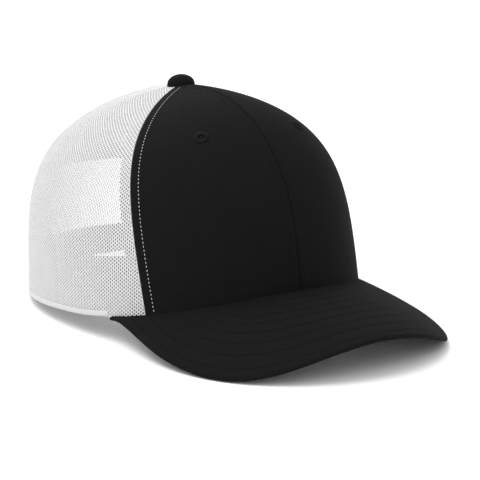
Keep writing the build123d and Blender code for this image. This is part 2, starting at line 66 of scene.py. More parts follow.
def crown_spot(z, turn, inset=0.0):
    """Points of the crown's cloth in its own axes, in mm: height, angle from the front, depth."""
    z, turn, inset = np.broadcast_arrays(np.asarray(z, float), turn, inset)
    arch = HEM_RISE * np.clip(np.cos(turn), 0, None) ** 2
    level = np.clip((z - arch) / (CROWN_TALL - inset - arch), 0, 0.99999)
    front, back, width = girth(level, inset)
    s, c = np.sin(turn), np.cos(turn)
    x = -width * np.sign(s) * np.abs(s) ** (2 / SQUARENESS)
    y = -np.where(c > 0, front, back) * np.sign(c) * np.abs(c) ** (2 / SQUARENESS)
    return np.stack((x, y, z), -1)


def in_room(spots):
    """Crown axes in mm to the object's axes in metres."""
    x, y, z = np.moveaxis(np.asarray(spots, float), -1, 0)
    s, c = math.sin(LEAN), math.cos(LEAN)
    return np.stack((x, y * c + z * s + CENTRE_Y, -y * s + z * c + HEM_LIFT), -1) / 1000


def in_crown(spot):
    """One point of the object's axes in metres back in the crown's own axes in mm."""
    x, y, z = spot[0] * 1000, spot[1] * 1000 - CENTRE_Y, spot[2] * 1000 - HEM_LIFT
    s, c = math.sin(LEAN), math.cos(LEAN)
    return x, y * c - z * s, y * s + z * c


def hem_height(turn):
    """Height of the hem line, which arches up over the visor."""
    x = crown_spot(0, turn)[..., 0]
    return np.where(np.cos(turn) > 0, np.clip(HEM_RISE * (1 - (x / HEM_HALF) ** 2), 0, None), 0.0)


TURNS = np.radians(np.linspace(0, 180, 1441))


def row_line(rise):
    """One line round the crown's right half at a part of the way from the hem to the apex."""
    z = hem_height(TURNS) + (CROWN_TALL - hem_height(TURNS)) * rise
    line = crown_spot(z, TURNS)
    steps = np.linalg.norm(np.diff(line, axis=0), axis=1)
    return z, line, np.concatenate(([0], np.cumsum(steps)))


def seam_reach(line, arc, normal):
    """Distance along a row line at which it meets a seam plane."""
    side = (line - np.array((0, 0, CROWN_TALL))) @ normal
    k = int(np.argmax(side > 0)) if (side > 0).any() else len(side) - 1
    k = max(k, 1)
    part = -side[k - 1] / (side[k] - side[k - 1]) if side[k] != side[k - 1] else 0
    return arc[k - 1] + (arc[k] - arc[k - 1]) * float(np.clip(part, 0, 1))


def rises(count):
    """Parts of the way up, evenly spaced along the middle of the front."""
    fine = np.linspace(0, 0.9995, 900)
    path = crown_spot(HEM_RISE + (CROWN_TALL - HEM_RISE) * fine, 0.0)
    arc = np.concatenate(([0], np.cumsum(np.linalg.norm(np.diff(path, axis=0), axis=1))))
    return np.interp(np.linspace(0, arc[-1], count), arc, fine)


def sheet_from(name, spots, flat, outward=True):
    """A grid of cloth with its points set in the room and its UV map in mm of flat cloth."""
    rows, cols = spots.shape[:2]
    bpy.ops.object.select_all(action="DESELECT")
    bpy.ops.mesh.primitive_grid_add(x_subdivisions=cols - 1, y_subdivisions=rows - 1, size=1,
                                    location=(0, 0, 0))
    sheet = bpy.context.object
    sheet.name = sheet.data.name = name
    start = np.empty(len(sheet.data.vertices) * 3)
    sheet.data.vertices.foreach_get("co", start)
    start = start.reshape(-1, 3) + 0.5
    col = np.rint(start[:, 0] * (cols - 1)).astype(int)
    row = np.rint(start[:, 1] * (rows - 1)).astype(int)
    sheet.data.vertices.foreach_set("co", spots[row, col].ravel())
    corner = np.empty(len(sheet.data.loops), int)
    sheet.data.loops.foreach_get("vertex_index", corner)
    sheet.data.uv_layers[0].data.foreach_set("uv", flat[row[corner], col[corner]].ravel())
    if not outward:
        sheet.data.flip_normals()
    sheet.data.update()
    return sheet


def thicken(piece, thick, toward=-1.0):
    """Gives a sheet its cloth thickness."""
    bpy.ops.object.select_all(action="DESELECT")
    bpy.context.view_layer.objects.active = piece
    piece.select_set(True)
    wall = piece.modifiers.new("wall", "SOLIDIFY")
    wall.thickness, wall.offset, wall.use_even_offset = thick, toward, False
    bpy.ops.object.modifier_apply(modifier="wall")
    return piece


def round_off(piece, degrees=50):
    """Smooth shading that keeps sharp edges."""
    bpy.ops.object.select_all(action="DESELECT")
    bpy.context.view_layer.objects.active = piece
    piece.select_set(True)
    bpy.ops.object.shade_smooth_by_angle(angle=math.radians(degrees))
    return piece


def other_side(piece, name):
    """A copy mirrored across the middle of the cap."""
    twin = piece.copy()
    twin.data = piece.data.copy()
    twin.name = twin.data.name = name
    bpy.context.collection.objects.link(twin)
    co = np.empty(len(twin.data.vertices) * 3)
    twin.data.vertices.foreach_get("co", co)
    co = co.reshape(-1, 3) * (-1, 1, 1)
    twin.data.vertices.foreach_set("co", co.ravel())
    twin.data.flip_normals()
    twin.data.update()
    return twin


def refinish(finish, *nodes):
    """Gives CAD nodes a finish and leaves their shape."""
    for node in nodes:
        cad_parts[node].data.materials.clear()
        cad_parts[node].data.materials.append(finish)


def sew_in(piece, finish, slot, *nodes):
    """Finish and CAD nodes of a piece that is sewn to the cap; the slot argument is not used."""
    piece.data.materials.clear()
    piece.data.materials.append(finish)
    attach(piece, "cap")
    if nodes:
        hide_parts(*nodes)
    return piece


class Thread:
    """A shader socket that can be used in sums."""

    def __init__(self, loom, socket):
        self.loom, self.socket = loom, socket

    def math(self, operation, *others):
        return self.loom.node("ShaderNodeMath", {"operation": operation},
                              dict(enumerate((self,) + others)))

    def __add__(self, other):
        return self.math("ADD", other)

    def __mul__(self, other):
        return self.math("MULTIPLY", other)


class Loom:
    """A material whose nodes are made one call at a time."""

    def __init__(self, name, **constants):
        self.material = bpy.data.materials.new(name)
        self.material.use_nodes = True
        self.tree = self.material.node_tree
        self.surface = self.tree.nodes["Principled BSDF"]
        for socket, value in constants.items():
            self.surface.inputs[socket.replace("_", " ")].default_value = value

    def join(self, socket, value):
        if isinstance(value, Thread):
            self.tree.links.new(value.socket, socket)
        else:
            socket.default_value = value

    def node(self, kind, settings=None, inputs=None, output=0):
        made = self.tree.nodes.new(kind)
        for key, value in (settings or {}).items():
            if key == "stops":
                ramp = made.color_ramp
                while len(ramp.elements) < len(value):
                    ramp.elements.new(0.5)
                for element, (place, colour) in zip(ramp.elements, value):
                    element.position, element.color = place, colour
            else:
                setattr(made, key, value)
        for key, value in (inputs or {}).items():
            self.join(made.inputs[key], value)
        return Thread(self, made.outputs[output])

    def grain(self, where, scale, detail=2.0):
        return self.node("ShaderNodeTexNoise", None,
                         {"Vector": where, "Scale": scale, "Detail": detail})

    def colours(self, amount, low, high):
        return self.node("ShaderNodeValToRGB", {"stops": [(0, low), (1, high)]}, {0: amount})

    def relief(self, height, distance, strength=1.0):
        bump = self.node("ShaderNodeBump", None,
                         {"Height": height, "Distance": distance, "Strength": strength})
        self.join(self.surface.inputs["Normal"], bump)

    def place(self, cloth=True):
        return self.node("ShaderNodeTexCoord", None, None, "UV" if cloth else "Object")


def twill_finish(name, low, high, cloth=True):
    """Brushed cotton twill: steep diagonal ribs, uneven yarn and slight wear."""
    loom = Loom(name, Specular_IOR_Level=0.07)
    where = loom.place(cloth)
    size = 1.0 if cloth else 1000.0
    ribs = loom.node("ShaderNodeTexWave", {"wave_type": "BANDS", "bands_direction": "DIAGONAL"},
                     {"Vector": where, "Scale": 0.62 * size, "Distortion": 1.2, "Detail": 2.0,
                      "Detail Scale": 2.0}, "Fac")
    yarn = loom.grain(where, 2.6 * size, 3.0)
    wear = loom.grain(where, 0.05 * size, 4.0)
    tone = ribs * 0.35 + yarn * 0.45 + wear * 0.3
    loom.join(loom.surface.inputs["Base Color"], loom.colours(tone, low, high))
    loom.join(loom.surface.inputs["Roughness"], yarn * 0.12 + 0.78)
    loom.relief(ribs * 0.6 + yarn * 0.7, 0.00016, 0.7)
    return loom.material


BLACK_YARN = (0.0024, 0.0024, 0.0026, 1), (0.0088, 0.0088, 0.0093, 1)
black_twill = twill_finish("black_twill", *BLACK_YARN)

near_seam = np.array((0, 0.35, 0.7, 1.1, 1.7, 2.4, 3.0, 3.4, 3.8, 4.6, 5.6, 6.6, 7.4, 8.2, 9.2))


def front_relief(from_middle, from_side):
    """Depth of the front gores' face: the pressed bands stand out and the seams lie in."""
    band = lambda d, w: 1 / (1 + np.exp((d - w) / 0.14))
    seam = lambda d: 0.75 * np.exp(-(d / 0.5) ** 2)
    stitch = lambda d, w: 0.12 * np.exp(-((d - w) / 0.45) ** 2)
    return (seam(from_middle) + seam(from_side) - 0.26 * band(from_middle, 4.1)
            - 0.3 * band(from_side, 6.6) + stitch(from_middle, 3.2) + stitch(from_side, 5.3))


def front_gore(rise_list, side_seam, middle):
    """Points and flat sizes of the right front gore, from the middle seam to the side seam."""
    spots, flat = [], []
    up = 0.0
    for k, rise in enumerate(rise_list):
        z, line, arc = row_line(rise)
        wide = max(seam_reach(line, arc, side_seam), 0.05)
        edge = near_seam * min(1.0, wide / 26)
        reach = np.concatenate((edge, np.linspace(edge[-1], wide - edge[-1], middle)[1:-1],
                                wide - edge[::-1]))
        turn, height = np.interp(reach, arc, TURNS), np.interp(reach, arc, z)
        depth = front_relief(reach, wide - reach)
        spots.append(crown_spot(height * (CROWN_TALL - depth) / CROWN_TALL, turn, depth))
        if k:
            up += float(np.linalg.norm(spots[k][0] - spots[k - 1][0]))
        flat.append(np.stack((reach - wide / 2, np.full(len(reach), up)), -1))
    return np.array(spots), np.array(flat)


spots, flat = front_gore(rises(84), FRONT_SEAM, 26)
front_panel_right = sheet_from("front_panel_right", in_room(spots), flat, outward=False)
thicken(front_panel_right, PANEL_THICK)
round_off(front_panel_right)
front_panel_left = other_side(front_panel_right, "front_panel_left")
sew_in(front_panel_right, black_twill, "black_twill", "front_panel_right")
sew_in(front_panel_left, black_twill, "black_twill", "front_panel_left")

# Front backing: stiff off-white buckram fused to the inside of both front panels, so that the
# front stands up by itself. It is seen only from inside the cap.
buckram = Loom("buckram", Roughness=0.9)
where = buckram.place(False)
threads = buckram.node("ShaderNodeTexChecker", None, {"Vector": where, "Scale": 1400.0}, "Fac")
buckram.join(buckram.surface.inputs["Base Color"],
             buckram.colours(buckram.grain(where, 400.0) * 0.6 + threads * 0.4,
                             (0.45, 0.45, 0.43, 1), (0.68, 0.68, 0.65, 1)))
buckram.relief(threads, 0.0002, 0.5)
refinish(buckram.material, "front_buckram_right", "front_buckram_left")

# Side and rear panels: four gores of stiff white knitted mesh, with small six-sided holes in
# upright staggered columns. The knit is cut at the seams, the hem and the rear opening.
CELL_ACROSS, CELL_UP = 1.35, 1.9
CELL_SHORT = 0.45
STRAND = 0.0003
NET_THICK = 0.00042
WINDOW_HALF, WINDOW_TOP = 37.5, 67.5


def net_gore(name, first_seam, last_seam, middle_turn):
    """One mesh gore of the right half as a net of joined cells."""
    rows = []
    for rise in rises(150):
        z, line, arc = row_line(rise)
        centre = np.interp(math.radians(middle_turn), TURNS, arc)
        rows.append((z, arc - centre))
    middle = np.array([crown_spot(np.interp(0.0, reach, z), math.radians(middle_turn))
                       for z, reach in rows])
    climb = np.concatenate(([0], np.cumsum(np.linalg.norm(np.diff(middle, axis=0), axis=1))))
    columns, tiers = 62, int(climb[-1] / CELL_UP) + 3
    points, faces, index = [], [], {}

    def corner(u, v):
        key = (round(u * 50), round(v * 50))
        if key not in index:
            index[key] = len(points)
            points.append((u, v))
        return index[key]

    half = CELL_UP / 2
    for i in range(-columns, columns + 1):
        for j in range(-1, tiers):
            u, v = i * CELL_ACROSS, j * CELL_UP + (half if i % 2 else 0)
            wide, short = CELL_ACROSS - CELL_SHORT, CELL_SHORT
            faces.append([corner(u - short, v - half), corner(u + short, v - half),
                          corner(u + wide, v), corner(u + short, v + half),
                          corner(u - short, v + half), corner(u - wide, v)])
    points = np.array(points)
    tier = np.interp(points[:, 1], climb, np.arange(len(climb)))
    low = np.clip(tier.astype(int), 0, len(rows) - 2)
    part = tier - low
    spots, inside = np.zeros((len(points), 3)), np.ones(len(points), bool)
    for k in range(len(rows) - 1):
        here = np.nonzero(low == k)[0]
        if not len(here):
            continue
        ends = []
        for z, reach in (rows[k], rows[k + 1]):
            u = points[here, 0]
            inside[here] &= (u > reach[0] - 2) & (u < reach[-1] + 2)
            ends.append(crown_spot(np.interp(u, reach, z), np.interp(u, reach, TURNS), 0.2))
        spots[here] = ends[0] + (ends[1] - ends[0]) * part[here][:, None]
    spots[:, 2] += np.minimum(points[:, 1], 0)
    mesh = bpy.data.meshes.new(name)
    keep = [f for f in faces if inside[f].all()]
    mesh.from_pydata([tuple(p) for p in in_room(spots)], [], keep)
    net = bpy.data.objects.new(name, mesh)
    bpy.context.collection.objects.link(net)
    build = bmesh.new()
    build.from_mesh(mesh)

    def cut(place, normal):
        at = Vector(in_room(place))
        way = Vector(in_room(np.asarray(place) + normal)) - at
        bmesh.ops.bisect_plane(build, geom=build.verts[:] + build.edges[:] + build.faces[:],
                               dist=1e-6, plane_co=at, plane_no=way.normalized(),
                               clear_outer=True)

    top = np.array((0, 0, CROWN_TALL))
    cut(top + first_seam * 0.15, -first_seam)
    cut(top - last_seam * 0.15, last_seam)
    cut((0, 0, 0.8), (0, 0, -1))
    hidden = []
    for face in build.faces:
        x, y, z = in_crown(face.calc_center_median())
        if y > 0 and abs(x) < WINDOW_HALF and z < WINDOW_TOP:
            hidden.append(face)
    bmesh.ops.delete(build, geom=hidden, context="FACES")
    bmesh.ops.dissolve_degenerate(build, dist=2e-5, edges=build.edges[:])
    holes = [f for f in build.faces if f.calc_area() > 5e-7]
    bmesh.ops.inset_individual(build, faces=holes, thickness=STRAND, use_even_offset=True)
    bmesh.ops.delete(build, geom=holes, context="FACES_ONLY")
    loose = [v for v in build.verts if not v.link_faces]
    bmesh.ops.delete(build, geom=loose, context="VERTS")
    build.normal_update()
    build.to_mesh(mesh)
    build.free()
    thicken(net, NET_THICK, 0.0)
    return net


knit = Loom("white_mesh", Roughness=0.62, Specular_IOR_Level=0.35, Sheen_Weight=0.1)
where = knit.place(False)
loops = knit.grain(where, 2600.0, 2.0)
knit.join(knit.surface.inputs["Base Color"],
          knit.colours(loops * 0.7 + knit.grain(where, 60.0) * 0.3,
                       (0.54, 0.54, 0.545, 1), (0.7, 0.7, 0.705, 1)))
knit.relief(loops, 0.0001, 0.6)
side_mesh_right = net_gore("side_mesh_right", FRONT_SEAM, REAR_SEAM, 88)
rear_mesh_right = net_gore("rear_mesh_right", REAR_SEAM, np.array((1.0, 0, 0)), 152)
for piece in (side_mesh_right, rear_mesh_right):
    round_off(piece, 40)
side_mesh_left = other_side(side_mesh_right, "side_mesh_left")
rear_mesh_left = other_side(rear_mesh_right, "rear_mesh_left")
sew_in(side_mesh_right, knit.material, "white_mesh", "side_mesh_right")
sew_in(side_mesh_left, knit.material, "white_mesh", "side_mesh_left")
sew_in(rear_mesh_right, knit.material, "white_mesh", "rear_mesh_right")
sew_in(rear_mesh_left, knit.material, "white_mesh", "rear_mesh_left")

# Topstitching: white thread in a single row on the black cloth, just in front of each seam with
# the mesh, and black thread in a row each side of the middle seam. Each stitch is a short fat
# run of thread that sinks at both ends.
bpy.ops.object.select_all(action="DESELECT")
bpy.ops.mesh.primitive_uv_sphere_add(segments=6, ring_count=6, radius=1, location=(0, 0, 0))
stitch_form = bpy.context.object
one_stitch = np.array([v.co[:] for v in stitch_form.data.vertices])
stitch_faces = [tuple(p.vertices) for p in stitch_form.data.polygons]
bpy.data.objects.remove(stitch_form)


def stitches(name, runs, long, fat, pitch):
    """Stitches at an even pitch along lines of (points, outward directions), in metres."""
    points, faces = [], []
    for path, out in runs:
        path, out = np.asarray(path, float), np.asarray(out, float)
        arc = np.concatenate(([0], np.cumsum(np.linalg.norm(np.diff(path, axis=0), axis=1))))
        for at in np.arange(pitch / 2, arc[-1] - pitch / 3, pitch):
            here, ahead, behind, up = (np.array([np.interp(a, arc, values[:, k]) for k in range(3)])
                                       for a, values in ((at, path), (at + pitch / 3, path),
                                                         (at - pitch / 3, path), (at, out)))
            along = (ahead - behind) / np.linalg.norm(ahead - behind)
            up = up - along * (up @ along)
            up = up / np.linalg.norm(up)
            frame_of = np.stack((np.cross(along, up) * fat, up * fat * 0.75, along * long / 2))
            faces += [tuple(i + len(points) for i in f) for f in stitch_faces]
            points += list(here + one_stitch @ frame_of)
    mesh = bpy.data.meshes.new(name)
    mesh.from_pydata([tuple(p) for p in points], [], faces)
    row = bpy.data.objects.new(name, mesh)
    bpy.context.collection.objects.link(row)
    mesh.polygons.foreach_set("use_smooth", [True] * len(mesh.polygons))
    return row


def thread_finish(name, low, high, shine):
    """Twisted sewing thread."""
    loom = Loom(name, Roughness=0.6, Specular_IOR_Level=shine)
    twist = loom.grain(loom.place(False), 3000.0, 1.0)
    loom.join(loom.surface.inputs["Base Color"], loom.colours(twist, low, high))
    loom.relief(twist, 0.0001, 0.6)
    return loom.material


white_thread = thread_finish("white_thread", (0.36, 0.36, 0.37, 1), (0.6, 0.6, 0.6, 1), 0.3)
black_thread = thread_finish("black_thread", (0.002, 0.002, 0.0022, 1), (0.006, 0.006, 0.0065, 1), 0.08)


def seam_row(normal, offset, depth):
    """Line beside a seam of the right half, with its outward directions."""
    path, out = [], []
    for rise in 1 - (1 - np.linspace(0.004, 0.955, 170)) ** 1.6:
        z, line, arc = row_line(rise)
        at = (0.0 if normal is None else seam_reach(line, arc, normal)) + offset
        turn, height = np.interp(at, arc, TURNS), np.interp(at, arc, z)
        path.append(crown_spot(height, turn, depth))
        a = crown_spot(height, turn + 0.02, depth) - crown_spot(height, turn - 0.02, depth)
        b = crown_spot(height + 0.3, turn, depth) - crown_spot(height - 0.3, turn, depth)
        out.append(np.cross(b, a))
    ground = in_room(np.zeros(3))
    return in_room(path), in_room(out) - ground


contrast_stitches_right = stitches("contrast_stitches_right",
                                   [seam_row(FRONT_SEAM, -5.3, -0.2)], 0.0012, 0.00024, 0.0021)
contrast_stitches_left = other_side(contrast_stitches_right, "contrast_stitches_left")
for piece in (contrast_stitches_right, contrast_stitches_left):
    sew_in(piece, white_thread, "white_tape")
middle_stitches_right = stitches("middle_stitches_right",
                                 [seam_row(None, 3.2, -0.16)], 0.0024, 0.0003, 0.0031)
middle_stitches_left = other_side(middle_stitches_right, "middle_stitches_left")
for piece in (middle_stitches_right, middle_stitches_left):
    sew_in(piece, black_thread, "black_thread")

# Eyelets: a hole punched in each front panel and overcast with black thread packed side by side
# into a raised ring.
bpy.ops.object.select_all(action="DESELECT")
EYELET_RING, EYELET_CORD, EYELET_STITCHES = 0.00275, 0.0014, 32
bpy.ops.mesh.primitive_torus_add(major_segments=96, minor_segments=14, location=(0, 0, 0),
                                 major_radius=EYELET_RING, minor_radius=EYELET_CORD)
eyelet_right = bpy.context.object
eyelet_right.name = eyelet_right.data.name = "eyelet_right"
co = np.array([v.co[:] for v in eyelet_right.data.vertices])
angle = np.arctan2(co[:, 1], co[:, 0])
ring = np.hypot(co[:, 0], co[:, 1])
swell = 1 + 0.075 * np.cos(EYELET_STITCHES * angle)
ring = EYELET_RING + (ring - EYELET_RING) * swell
co = np.stack((ring * np.cos(angle), ring * np.sin(angle), co[:, 2] * 0.72 * swell), -1)
low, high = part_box("eyelet_right")
sideways, _, height = in_crown((np.array(low) + np.array(high)) / 2)
turn = min(np.linspace(0.2, 1.2, 400), key=lambda t: abs(crown_spot(height, t)[0] - sideways))
a = crown_spot(height, turn + 0.02) - crown_spot(height, turn - 0.02)
b = crown_spot(height + 0.3, turn) - crown_spot(height - 0.3, turn)
outward = Vector(in_room(np.cross(b, a)) - in_room(np.zeros(3))).normalized()
seat = Vector(in_room(crown_spot(height, turn, 0.35)))
turned = np.array(outward.to_track_quat("Z", "Y").to_matrix())
eyelet_right.data.vertices.foreach_set("co", (co @ turned.T + np.array(seat)).ravel())
round_off(eyelet_right, 80)
eyelet_left = other_side(eyelet_right, "eyelet_left")
sew_in(eyelet_right, black_thread, "black_thread", "eyelet_right")
sew_in(eyelet_left, black_thread, "black_thread", "eyelet_left")

# Seam tapes: soft white woven tape stitched over every seam inside the crown, where it shows
# faintly through the mesh.
tape = Loom("white_tape", Roughness=0.72, Sheen_Weight=0.15, Specular_IOR_Level=0.3)
where = tape.place(False)
weft = tape.node("ShaderNodeTexWave", {"bands_direction": "Z"},
                 {"Vector": where, "Scale": 420.0, "Distortion": 1.0, "Detail": 1.0}, "Fac")
tape.join(tape.surface.inputs["Base Color"],
          tape.colours(weft * 0.5 + tape.grain(where, 900.0) * 0.5,
                       (0.5, 0.5, 0.505, 1), (0.64, 0.64, 0.64, 1)))
tape.relief(weft, 0.00015, 0.5)
refinish(tape.material, "centre_seam_tape", "front_seam_tape_right", "front_seam_tape_left",
         "rear_seam_tape_right", "rear_seam_tape_left")

# Sweatband: cotton twill folded over a soft core and sewn round the inside of the hem, with a
# rounded top edge. It stops at each side of the rear opening.
sweat_turn = math.radians(153.2)
sweat_turns = np.linspace(-sweat_turn, sweat_turn, 181)
sweat_rows = ((0.0, 2.7), (2.0, 2.6), (6.0, 2.6), (14.0, 2.6), (22.0, 2.6), (27.0, 2.6),
              (29.6, 2.7), (30.7, 3.0), (31.0, 3.35), (30.7, 3.75), (29.6, 4.05), (27.0, 4.1),
              (20.0, 4.25), (12.0, 4.25), (6.0, 4.1), (4.0, 3.95), (3.2, 3.8), (2.4, 3.95),
              (0.9, 4.0), (0.2, 3.8))
foot = np.where(np.cos(sweat_turns) > 0, hem_height(sweat_turns) * 0.8, 0.0)
spots = np.array([crown_spot(foot + up + 0.2, sweat_turns, depth) for up, depth in sweat_rows])
along = np.cumsum(np.concatenate(([0], np.linalg.norm(np.diff(spots[3], axis=0), axis=1))))
flat = np.array([np.stack((along, np.full(len(along), k * 3.0)), -1)
                 for k in range(len(sweat_rows))])
sweatband = sheet_from("sweatband", in_room(spots), flat, outward=False)
build = bmesh.new()
build.from_mesh(sweatband.data)
build.verts.ensure_lookup_table()
across = len(sweat_turns)
for c in range(across - 1):
    build.faces.new((build.verts[c], build.verts[c + 1],
                     build.verts[(len(sweat_rows) - 1) * across + c + 1],
                     build.verts[(len(sweat_rows) - 1) * across + c]))
for c in (0, across - 1):
    build.faces.new([build.verts[r * across + c] for r in range(len(sweat_rows))])
bmesh.ops.recalc_face_normals(build, faces=build.faces[:])
build.to_mesh(sweatband.data)
build.free()
round_off(sweatband, 60)
white_twill = twill_finish("white_sweatband", (0.5, 0.5, 0.495, 1), (0.68, 0.68, 0.675, 1))
sew_in(sweatband, white_twill, "white_sweatband", "sweatband")


def seam_fold(name, lines):
    """A folded strip: lines of points round its closed section, run from end to end."""
    steps = np.linalg.norm(np.diff(lines[0], axis=0), axis=1)
    along = np.concatenate(([0], np.cumsum(steps)))
    flat = np.array([np.stack((along, np.full(len(along), k * 1.0)), -1)
                     for k in range(len(lines))])
    strip = sheet_from(name, in_room(lines), flat)
    build = bmesh.new()
    build.from_mesh(strip.data)
    bmesh.ops.remove_doubles(build, verts=build.verts[:], dist=1e-7)
    edges = [e for e in build.edges if e.is_boundary]
    bmesh.ops.holes_fill(build, edges=edges, sides=0)
    bmesh.ops.recalc_face_normals(build, faces=build.faces[:])
    build.to_mesh(strip.data)
    build.free()
    return round_off(strip, 60)


# Hem bindings: a narrow white strip folded over the cut edge of the mesh and stitched through,
# from the visor's corner round to the rear opening.
hem_turns = np.radians(np.linspace(69.4, 155.6, 110))
hem_section = ((-0.42, 2.8), (-0.5, 1.6), (-0.45, 0.5), (-0.15, 0.06), (0.9, 0.06), (1.3, 0.4),
               (1.4, 1.6), (1.36, 2.8), (1.0, 2.9), (0.98, 0.7), (-0.02, 0.7), (-0.04, 2.9),
               (-0.42, 2.8))
foot = hem_height(hem_turns)
lines = np.array([crown_spot(foot + up, hem_turns, depth) for depth, up in hem_section])
hem_binding_right = seam_fold("hem_binding_right", lines)
hem_binding_left = other_side(hem_binding_right, "hem_binding_left")
sew_in(hem_binding_right, tape.material, "white_tape", "hem_binding_right")
sew_in(hem_binding_left, tape.material, "white_tape", "hem_binding_left")


# Rear opening's binding: white tape folded over the mesh all round the arch, stitched near its
# outer edge.
OPENING_HALF, OPENING_CORNER, OPENING_RISE = 36, 11, 64.9


def arch(out):
    """Outline of the opening grown outward, in the crown's width and height, right to left."""
    half, corner, rise = OPENING_HALF + out, OPENING_CORNER + out, OPENING_RISE + out
    points = [(-half, z) for z in np.linspace(0.2, rise - corner, 26)]
    points += [(-half + corner - corner * math.cos(a), rise - corner + corner * math.sin(a))
               for a in np.linspace(0, math.pi / 2, 15)[1:]]
    points += [(x, rise + 1.0 * (1 - (x / (half - corner)) ** 2))
               for x in np.linspace(-half + corner, 0, 12)[1:]]
    return np.array(points + [(-x, z) for x, z in points[-2::-1]])


def rear_wall(flat_points, depth):
    """Points of the rear wall at given widths and heights and a depth."""
    x, z = flat_points[:, 0], flat_points[:, 1]
    level = np.clip(z / (CROWN_TALL - depth), 0, 1)
    _, back, width = girth(level, depth)
    y = back * (1 - np.abs(x / width) ** SQUARENESS) ** (1 / SQUARENESS)
    return np.stack((x, y, z), -1)


fold = ((8.0, -0.4), (6.9, -0.44), (6.2, -0.36), (5.5, -0.5), (3.0, -0.52), (0.9, -0.5),
        (0.3, -0.34), (0.02, 0.1), (0.02, 0.8), (0.3, 1.24), (0.9, 1.4), (4.0, 1.42), (8.0, 1.4),
        (8.0, 1.02), (1.0, 1.02), (0.6, 0.45), (1.0, -0.08), (8.0, -0.06), (8.0, -0.4))
lines = np.array([rear_wall(arch(out), depth) for out, depth in fold])
opening_binding = seam_fold("opening_binding", lines)
sew_in(opening_binding, tape.material, "white_tape", "opening_binding")
path = in_room(rear_wall(arch(6.2), -0.5))
outward = in_room(rear_wall(arch(6.2), -1.5)) - path
binding_stitches = stitches("binding_stitches", [(path, outward)], 0.0023, 0.0003, 0.003)
sew_in(binding_stitches, white_thread, "white_tape")

# Visor: a stiff pressed board between two covers of the same black twill, which meet round its
# edge. Rows of black stitching run parallel to the edge, each in a slight channel.
VISOR_THICK, VISOR_LONG, VISOR_HALF = 2.6, 68.3, 78.6
VISOR_FULLNESS, VISOR_SKEW = 6.8, -4.0
ROOT_RADIUS, TIGHTENING, DROOP, PRESS_REACH = 152.4, 0.4986, 10.1, 70
EDGE_ROUND = VISOR_THICK / 2
visor_front = in_room(crown_spot(HEM_RISE, 0.0)) * 1000
visor_axis = -40.0 + CENTRE_Y


def pressed(x, y):
    """Height of the visor's pressed curve, in mm."""
    ahead = (visor_front[1] - y) / PRESS_REACH
    radius = ROOT_RADIUS * (1 - TIGHTENING * ahead)
    droop = DROOP * np.clip(ahead, 0, None) ** 2
    return visor_front[2] - droop - (radius - np.sqrt(np.clip(radius ** 2 - x ** 2, 1, None)))


def visor_edge(turn):
    """Distance of the visor's edge from the middle of the line between its corners."""
    deep = visor_axis - visor_front[1] + VISOR_LONG
    bow = np.sin(2 * turn) ** 2 * (VISOR_FULLNESS + VISOR_SKEW * np.cos(2 * turn))
    return VISOR_HALF * np.cos(turn) ** 2 + deep * np.sin(turn) ** 2 + bow


hem_line = in_room(crown_spot(hem_height(TURNS[:720]), TURNS[:720])) * 1000
hem_way = np.arctan2(visor_axis - hem_line[:, 1], -hem_line[:, 0])
order = np.argsort(hem_way)
hem_way, hem_line = hem_way[order], hem_line[order]
hem_far = np.hypot(hem_line[:, 0], visor_axis - hem_line[:, 1])
hem_lift = hem_line[:, 2] - pressed(hem_line[:, 0], hem_line[:, 1])


def visor_spot(turn, far, depth):
    """Point of the visor at an angle and distance from its corner line, at a depth, in metres."""
    folded = np.minimum(turn, math.pi - turn)
    x, y = -far * np.cos(turn), visor_axis - far * np.sin(turn)
    root = np.interp(folded, hem_way, hem_far)
    span = np.clip(visor_edge(folded) - root, 6, None)
    out = np.clip((far - root) / span, 0, 1)
    z = pressed(x, y) + np.interp(folded, hem_way, hem_lift) * (1 - out) ** 2
    return np.stack((x, y, z - depth), -1) / 1000


def visor_root(turn):
    """Distance of the crown's hem along the same direction."""
    return np.interp(np.minimum(turn, math.pi - turn), hem_way, hem_far)


ease = np.linspace(0, 1, 151)
visor_turns = math.pi * (ease - 0.08 * np.sin(2 * math.pi * ease) / (2 * math.pi))
row_places = [4.5 + 7.6 * k for k in range(8)]


def visor_face(name, top):
    """One cover with its half of the rounded edge."""
    edge, root = visor_edge(visor_turns), visor_root(visor_turns) - 1.7
    rows = []
    for part in np.linspace(0, 1, 100):
        far = root + (edge - EDGE_ROUND - root) * part
        channel = sum(0.22 * np.exp(-((edge - far - place) / 0.6) ** 2) for place in row_places)
        rows.append(visor_spot(visor_turns, far, channel if top else VISOR_THICK - channel))
    for a in np.linspace(0, math.pi / 2, 6)[1:]:
        far = edge - EDGE_ROUND + EDGE_ROUND * math.sin(a)
        fall = EDGE_ROUND * math.cos(a)
        rows.append(visor_spot(visor_turns, far, EDGE_ROUND - fall if top else EDGE_ROUND + fall))
    rows = np.array(rows)
    flat = np.stack((rows[..., 0] * 1000, rows[..., 1] * 1000), -1)
    face = sheet_from(name, rows, flat, outward=not top)
    thicken(face, 0.00045)
    return round_off(face, 60)


